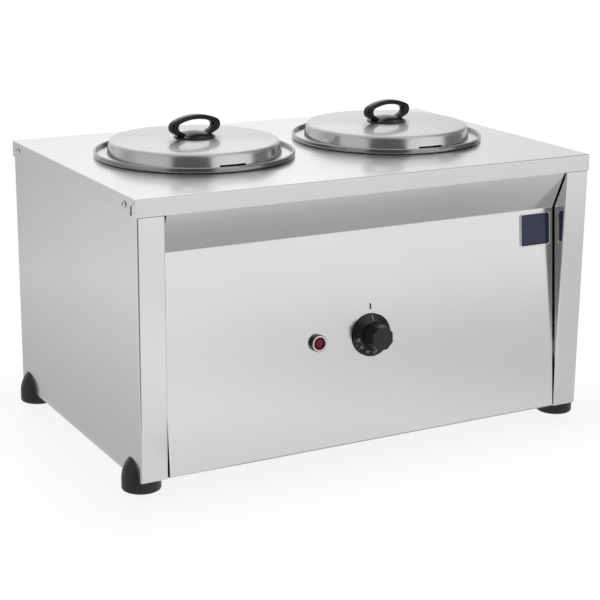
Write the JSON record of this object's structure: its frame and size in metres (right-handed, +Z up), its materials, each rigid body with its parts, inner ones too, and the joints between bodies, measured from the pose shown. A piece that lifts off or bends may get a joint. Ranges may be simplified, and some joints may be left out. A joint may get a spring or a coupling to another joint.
{
  "type": "soup warmer",
  "caption": "Counter-top soup warmer: brushed steel box with a heated water bath, lift-out round pots, notched lids with black loop handles and a thermostat knob.",
  "frame": {"origin": "on the floor under the middle of the overall box", "axes": "+X to the right seen from the front, +Y towards the back, +Z up"},
  "size_m": [0.6198, 0.4237, 0.3845],
  "materials": {
    "brushed_sheet": "brushed stainless sheet",
    "polished_steel": "bright spun stainless",
    "inner_steel": "mill finish",
    "black_bakelite": "glossy thermoset",
    "black_plastic": "satin moulding",
    "bright_screw": "bright zinc",
    "bright_bezel": "chromed",
    "red_lens": "clear dark red",
    "badge_enamel": "dark blue enamel, blank",
    "element_sheath": "heat-darkened tube",
    "brass": "turned",
    "seal_rubber": "matt",
    "thermostat_moulding": "brown thermoset",
    "copper_tube": "drawn copper",
    "terminal_moulding": "natural nylon",
    "brown_insulation": "silicone sleeve",
    "blue_insulation": "silicone sleeve",
    "green_insulation": "green and yellow silicone sleeve"
  },
  "bodies": {
    "housing": {"top_cover": "brushed_sheet", "left_side_panel": "brushed_sheet", "right_side_panel": "brushed_sheet", "front_panel": "brushed_sheet", "back_panel": "brushed_sheet", "bottom_plate": "inner_steel", "water_tank": "inner_steel", "element_clips": "inner_steel", "bulb_clips": "inner_steel", "front_left_foot": "black_plastic", "front_right_foot": "black_plastic", "back_left_foot": "black_plastic", "back_right_foot": "black_plastic", "lamp_body": "black_plastic", "gland_body": "black_plastic", "gland_cap": "black_plastic", "gland_locknut": "black_plastic", "lamp_nut": "black_plastic", "cover_screws": "bright_screw", "panel_screws": "bright_screw", "foot_screws": "bright_screw", "hex_nuts": "bright_screw", "terminal_block_screws": "bright_screw", "earth_stud": "bright_screw", "lamp_bezel": "bright_bezel", "lamp_lens": "red_lens", "badge_plate": "badge_enamel", "heating_element": "element_sheath", "element_bushes": "brass", "element_nuts": "brass", "element_terminals": "brass", "thermostat_tabs": "brass", "lamp_tabs": "brass", "earth_lug": "brass", "terminal_screws": "brass", "element_seals": "seal_rubber", "gland_seal": "seal_rubber", "thermostat_body": "thermostat_moulding", "thermostat_capillary": "copper_tube", "thermostat_bulb": "copper_tube", "terminal_block": "terminal_moulding", "live_wire": "brown_insulation", "load_wire": "brown_insulation", "neutral_wire": "blue_insulation", "lamp_wires": "blue_insulation", "earth_wire": "green_insulation"},
    "pot_left": {"left_pot": "polished_steel", "left_pot_base": "polished_steel", "left_pot_rim": "polished_steel"},
    "pot_right": {"right_pot": "polished_steel", "right_pot_base": "polished_steel", "right_pot_rim": "polished_steel"},
    "lid_left": {"left_lid": "polished_steel", "left_lid_handle": "black_bakelite", "left_lid_screw": "bright_screw"},
    "lid_right": {"right_lid": "polished_steel", "right_lid_handle": "black_bakelite", "right_lid_screw": "bright_screw"},
    "dial": {"thermostat_knob": "black_bakelite", "thermostat_spindle": "bright_screw"}
  },
  "joints": [
    {"name": "left_pot_lift", "type": "slide", "parent": "housing", "child": "pot_left", "axis": [0, 0, 1], "range_m": [0, 0.22]},
    {"name": "right_pot_lift", "type": "slide", "parent": "housing", "child": "pot_right", "axis": [0, 0, 1], "range_m": [0, 0.22]},
    {"name": "left_lid_lift", "type": "slide", "parent": "pot_left", "child": "lid_left", "axis": [0, 0, 1], "range_m": [0, 0.12]},
    {"name": "right_lid_lift", "type": "slide", "parent": "pot_right", "child": "lid_right", "axis": [0, 0, 1], "range_m": [0, 0.12]},
    {"name": "thermostat_turn", "type": "hinge", "parent": "housing", "child": "dial", "pos_m": [0, -0.18387, 0.144], "axis": [0, 0.9962, -0.0866], "range_deg": [0, 270]}
  ]
}
